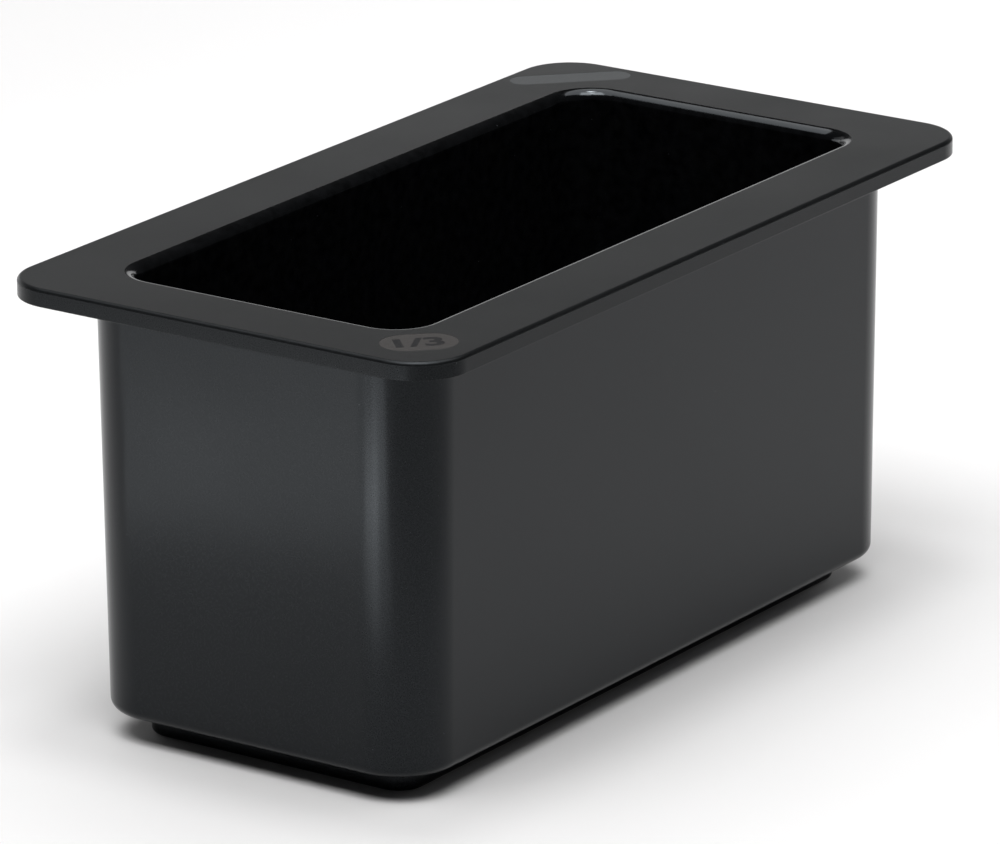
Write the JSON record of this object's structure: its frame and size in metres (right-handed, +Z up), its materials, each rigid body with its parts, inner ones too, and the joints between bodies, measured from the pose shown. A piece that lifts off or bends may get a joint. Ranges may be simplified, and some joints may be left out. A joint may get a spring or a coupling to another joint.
{
  "type": "deli food pan",
  "caption": "Rectangular double-walled black food pan with a glossy well, a wide flat turned-down rim, drafted satin sides and a stepped-in foot.",
  "frame": {"origin": "on the surface the pan stands on, under the middle of the foot", "axes": "+Z up towards the open top, +X along the pan, +Y across it"},
  "size_m": [0.324, 0.174, 0.1587],
  "materials": {
    "well_plastic": "black, mirror-gloss inside the well and fine matt grain on the rim",
    "shell_plastic": "black with a fine satin grain",
    "gel": "translucent refrigerant gel",
    "bond": "cured adhesive",
    "plug_rubber": "matt rubber",
    "label": "grey label, matt"
  },
  "bodies": {
    "root": {"food_well": "well_plastic", "outer_shell": "shell_plastic", "coolant_gel": "gel", "rim_bond_bead": "bond", "fill_plug": "plug_rubber", "vent_plug": "plug_rubber", "size_label": "label", "plain_label": "label"}
  },
  "joints": []
}
